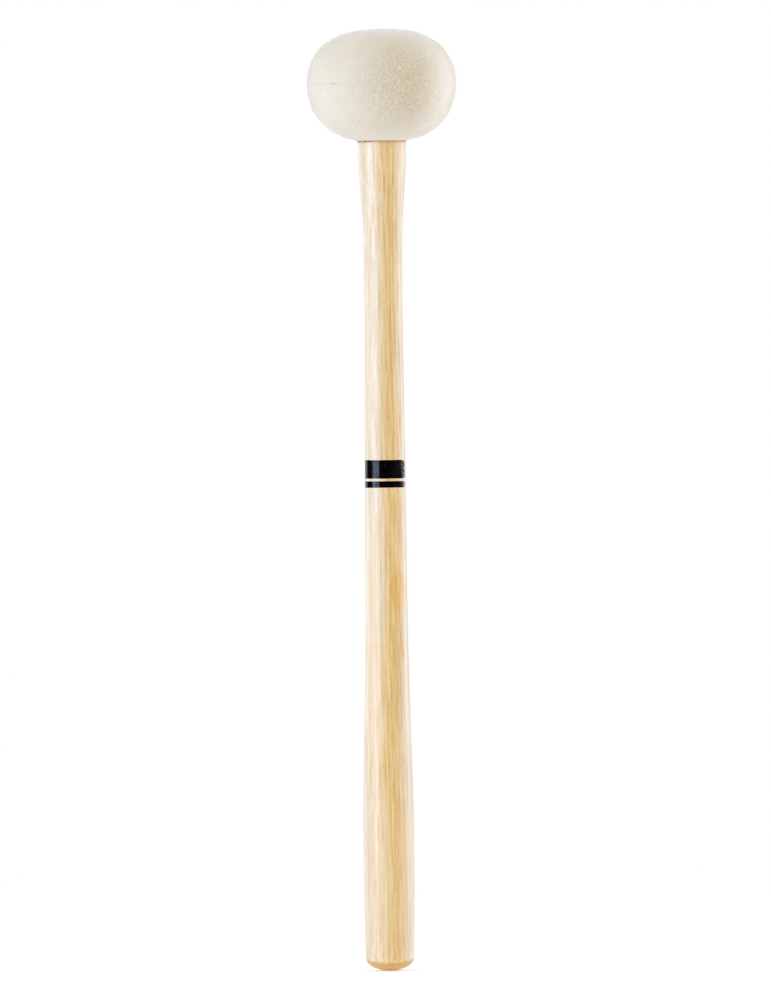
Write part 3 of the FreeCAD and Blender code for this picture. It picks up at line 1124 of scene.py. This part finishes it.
def aim(item, place, target, roll=0.0):
    # Turned so that its -Z looks at the target, then rolled about that line.
    item.location = place
    item.rotation_mode = "QUATERNION"
    facing = (Vector(target) - Vector(place)).to_track_quat("-Z", "Y")
    item.rotation_quaternion = facing @ Quaternion((0, 0, 1), roll)


def addLamp(name, place, target, width, length, watts, colour, mirrored):
    # A rectangular lamp aimed at a target, unseen by the camera.
    lamp = bpy.data.lights.new(name, "AREA")
    lamp.shape = "RECTANGLE"
    lamp.size, lamp.size_y = width, length
    lamp.energy, lamp.color = watts, colour
    item = addObject(name, lamp)
    item.visible_camera = False
    item.visible_glossy = mirrored
    aim(item, place, target)


def seenRay(tree):
    # 1 for a ray from the camera, straight or through glass.
    path = tree.nodes.new("ShaderNodeLightPath").outputs
    return mathNode(tree, "ADD", path["Is Camera Ray"], path["Is Transmission Ray"], clamp=True)


def makeWorld():
    # What a ray meets follows from its heading. The light that fills the object comes from a warm
    # room and from a white backdrop behind it, dimmed towards the right. Reflections show a nearly
    # black room, a backdrop with a skewed edge and a faint wall at the right. The camera sees white.
    world = bpy.data.worlds.new("pale_studio")
    bpy.context.scene.world = world
    world.use_nodes = True
    world.cycles.sampling_method = "NONE"  # found by the rays themselves, so reflections see the dark room
    tree = world.node_tree
    tree.nodes.clear()
    path = tree.nodes.new("ShaderNodeLightPath").outputs
    heading = tree.nodes.new("ShaderNodeTexCoord").outputs["Generated"]
    aside, ahead = axisOf(tree, heading, "X"), axisOf(tree, heading, "Y")
    behind = fadeNode(tree, ahead, *studio["backdropEdge"])
    dimmed = fadeNode(tree, aside, *studio["backdropRight"])
    backdrop = mixNode(tree, dimmed, (0.0, 0.0, 0.0), studio["backdropLight"])
    fillLight = mixNode(tree, behind, studio["roomLight"], backdrop)
    skewed = plus(tree, ahead, times(tree, aside, studio["mirrorSkew"]))
    mirrorFades = ((skewed, "mirrorEdge"), (ahead, "mirrorFar"), (aside, "mirrorRight"))
    mirrored = times(tree, *(fadeNode(tree, axis, *studio[key]) for axis, key in mirrorFades))
    mirrored = mathNode(tree, "ADD", mirrored, fadeNode(tree, aside, *studio["sideWall"]), clamp=True)
    colour = mixNode(tree, path["Is Glossy Ray"], fillLight, mirrored)
    colour = mixNode(tree, seenRay(tree), colour, (1.0, 1.0, 1.0))
    fill = tree.nodes.new("ShaderNodeBackground")
    output = tree.nodes.new("ShaderNodeOutputWorld")
    dress(tree, fill, {"Color": colour})
    tree.links.new(fill.outputs[0], output.inputs["Surface"])


def makeFloor():
    # A pale square whose glow, for the camera alone, grows outwards so that it looks evenly white.
    # Round the butt it also glows for every other ray: painted light on the dome from below.
    half = studio["floorSide"] / 2
    corners = [(-half, -half, buttZ), (half, -half, buttZ), (half, half, buttZ), (-half, half, buttZ)]
    mesh = bpy.data.meshes.new("floor")
    mesh.from_pydata(corners, [], [(0, 1, 2, 3)])
    floor = addObject("floor", mesh)
    material, tree, shader = startMaterial("pale_floor", studio["floorSettings"])
    away = axisDistance(tree, objectPlace(tree))
    glow = plus(tree, *(fadeNode(tree, away, *studio[key]) for key in ("floorGlow", "farGlow")))
    # painted light: the floor itself glows round the butt for every ray but the camera's
    table = fadeNode(tree, away, *studio["paintedGlowUnderButt"])
    glow = mixNode(tree, seenRay(tree), table, glow)
    dress(tree, shader, {"Base Color": studio["floorColour"], "Emission Strength": glow})
    mesh.materials.append(material)


view = dict(
    distance=6.0, eyeZ=0.2, photoRows=1000, pixel=0.37774 * mm, roll=math.radians(-0.57), sensor=36.0,
)


def makeCamera():
    # A long lens level with the slim neck, aimed at the middle of the beater.
    middle = Vector((0, 0, middleZ))
    eye = Vector((0, -view["distance"], view["eyeZ"]))
    camera = bpy.data.cameras.new("camera")
    camera.sensor_width = view["sensor"]
    camera.lens = view["sensor"] * (eye - middle).length / (view["photoRows"] * view["pixel"])
    item = addObject("camera", camera)
    aim(item, eye, middle, view["roll"])
    bpy.context.scene.camera = item


for lampName, (azimuth, distance, rise, *rest) in studio["lamps"].items():
    spot = roundPlace(distance, frontAngle + math.radians(azimuth), middleZ + rise)
    addLamp(lampName, spot, (0, 0, middleZ), *rest)
makeWorld()
makeFloor()
makeCamera()
bpy.context.scene.view_settings.view_transform = "Standard"
print("studio: done")
